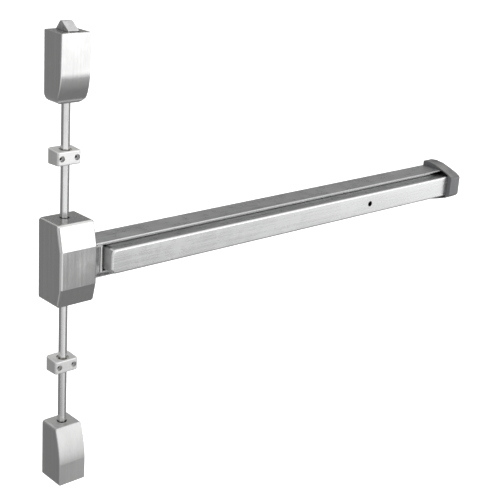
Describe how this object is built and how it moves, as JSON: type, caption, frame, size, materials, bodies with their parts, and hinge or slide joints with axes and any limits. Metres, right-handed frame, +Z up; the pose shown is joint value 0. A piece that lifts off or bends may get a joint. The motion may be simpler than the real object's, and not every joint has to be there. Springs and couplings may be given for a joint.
{
  "type": "panic exit bar",
  "caption": "Surface-mounted panic exit bar: a long push pad draws back a top and a bottom latch through a link bar, levers and vertical rods.",
  "frame": {"origin": "door face at the crossing of the rods' centreline and the bar's centreline", "axes": "+X along the bar towards the end cap, +Y into the door, +Z up"},
  "size_m": [1.0009, 0.079, 0.7985],
  "materials": {
    "satin": "fine brushed, satin",
    "alu": "satin anodised",
    "dark": "dark satin paint",
    "zinc": "zinc plated",
    "steel": "bright steel",
    "spring": "drawn spring wire",
    "nylon": "natural nylon",
    "plug": "grey moulded"
  },
  "bodies": {
    "frame": {"case_cover": "satin", "chassis_plate": "zinc", "lever_pins": "steel", "retaining_clips": "steel", "slide_guides": "nylon", "case_screws": "zinc", "bar_channel": "alu", "joint_plate": "zinc", "joint_screws": "zinc", "mouth_filler": "satin", "bar_guides": "nylon", "crank_brackets": "zinc", "crank_pins": "steel", "spring_anchor": "zinc", "return_spring": "spring", "dog_bracket": "zinc", "end_cap": "dark", "end_cap_bracket": "zinc", "channel_screws": "zinc", "cap_screws": "zinc", "upper_guide": "satin", "lower_guide": "satin", "upper_bush": "nylon", "lower_bush": "nylon", "top_latch_cover": "satin", "top_latch_base": "zinc", "top_pivot_pin": "steel", "top_spring": "spring", "top_latch_screws": "zinc", "bottom_latch_cover": "satin", "bottom_latch_base": "zinc", "bolt_guide": "nylon", "bottom_spring": "spring", "bottom_latch_screws": "zinc"},
    "pad": {"push_pad": "alu", "pad_plug_left": "plug", "pad_plug_right": "plug", "pad_brackets": "zinc", "pad_pins": "steel"},
    "crank_l": {"left_crank": "zinc"},
    "crank_r": {"right_crank": "zinc"},
    "link": {"link_bar": "zinc", "dog_tab": "zinc", "link_pins": "steel"},
    "lever_u": {"upper_lever": "zinc"},
    "lever_d": {"lower_lever": "zinc"},
    "rod_u": {"upper_slide": "steel", "upper_slide_pin": "steel", "upper_nut": "steel", "upper_rod": "steel", "rod_head": "steel", "rod_head_pin": "steel"},
    "rod_d": {"lower_slide": "steel", "lower_slide_pin": "steel", "lower_nut": "steel", "lower_rod": "steel", "bottom_bolt": "steel"},
    "bolt": {"top_bolt": "steel"},
    "dog": {"dog_screw": "steel", "dog_hook": "steel"}
  },
  "joints": [
    {"name": "push_pad", "type": "slide", "parent": "frame", "child": "pad", "axis": [0, 1, 0], "range_m": [0, 0.017], "stiffness_N_per_m": 500, "springref_m": -0.03},
    {"name": "left_crank_pivot", "type": "hinge", "parent": "frame", "child": "crank_l", "pos_m": [0.18, -0.028, 0], "axis": [0, 0, -1], "range_deg": [0, 34.96]},
    {"name": "right_crank_pivot", "type": "hinge", "parent": "frame", "child": "crank_r", "pos_m": [0.83, -0.028, 0], "axis": [0, 0, -1], "range_deg": [0, 34.96]},
    {"name": "link_slide", "type": "slide", "parent": "frame", "child": "link", "axis": [1, 0, 0], "range_m": [0, 0.01201], "deforming": ["return_spring"]},
    {"name": "upper_lever_pivot", "type": "hinge", "parent": "frame", "child": "lever_u", "pos_m": [0.022, -0.0146, 0.025], "axis": [0, -1, 0], "range_deg": [0, 37.89]},
    {"name": "lower_lever_pivot", "type": "hinge", "parent": "frame", "child": "lever_d", "pos_m": [0.022, -0.0146, -0.025], "axis": [0, 1, 0], "range_deg": [0, 37.89]},
    {"name": "upper_rod_slide", "type": "slide", "parent": "frame", "child": "rod_u", "axis": [0, 0, -1], "range_m": [0, 0.0151], "deforming": ["top_spring"]},
    {"name": "lower_rod_slide", "type": "slide", "parent": "frame", "child": "rod_d", "axis": [0, 0, 1], "range_m": [0, 0.0151], "deforming": ["bottom_spring"]},
    {"name": "top_bolt_pivot", "type": "hinge", "parent": "frame", "child": "bolt", "pos_m": [0, -0.0095, 0.356], "axis": [1, 0, 0], "range_deg": [0, 45.52]},
    {"name": "dog_screw", "type": "hinge", "parent": "frame", "child": "dog", "pos_m": [0.687, -0.03, 0], "axis": [0, 1, 0], "range_deg": [0, 90]}
  ],
  "couplings": [
    {"joint": "left_crank_pivot", "follows": "push_pad", "rad_per_m": 35.881},
    {"joint": "right_crank_pivot", "follows": "push_pad", "rad_per_m": 35.881},
    {"joint": "link_slide", "follows": "push_pad", "ratio": 0.70656},
    {"joint": "upper_lever_pivot", "follows": "push_pad", "rad_per_m": 38.893},
    {"joint": "lower_lever_pivot", "follows": "push_pad", "rad_per_m": 38.893},
    {"joint": "upper_rod_slide", "follows": "push_pad", "ratio": 0.88824},
    {"joint": "lower_rod_slide", "follows": "push_pad", "ratio": 0.88824},
    {"joint": "top_bolt_pivot", "follows": "push_pad", "rad_per_m": 46.724}
  ]
}
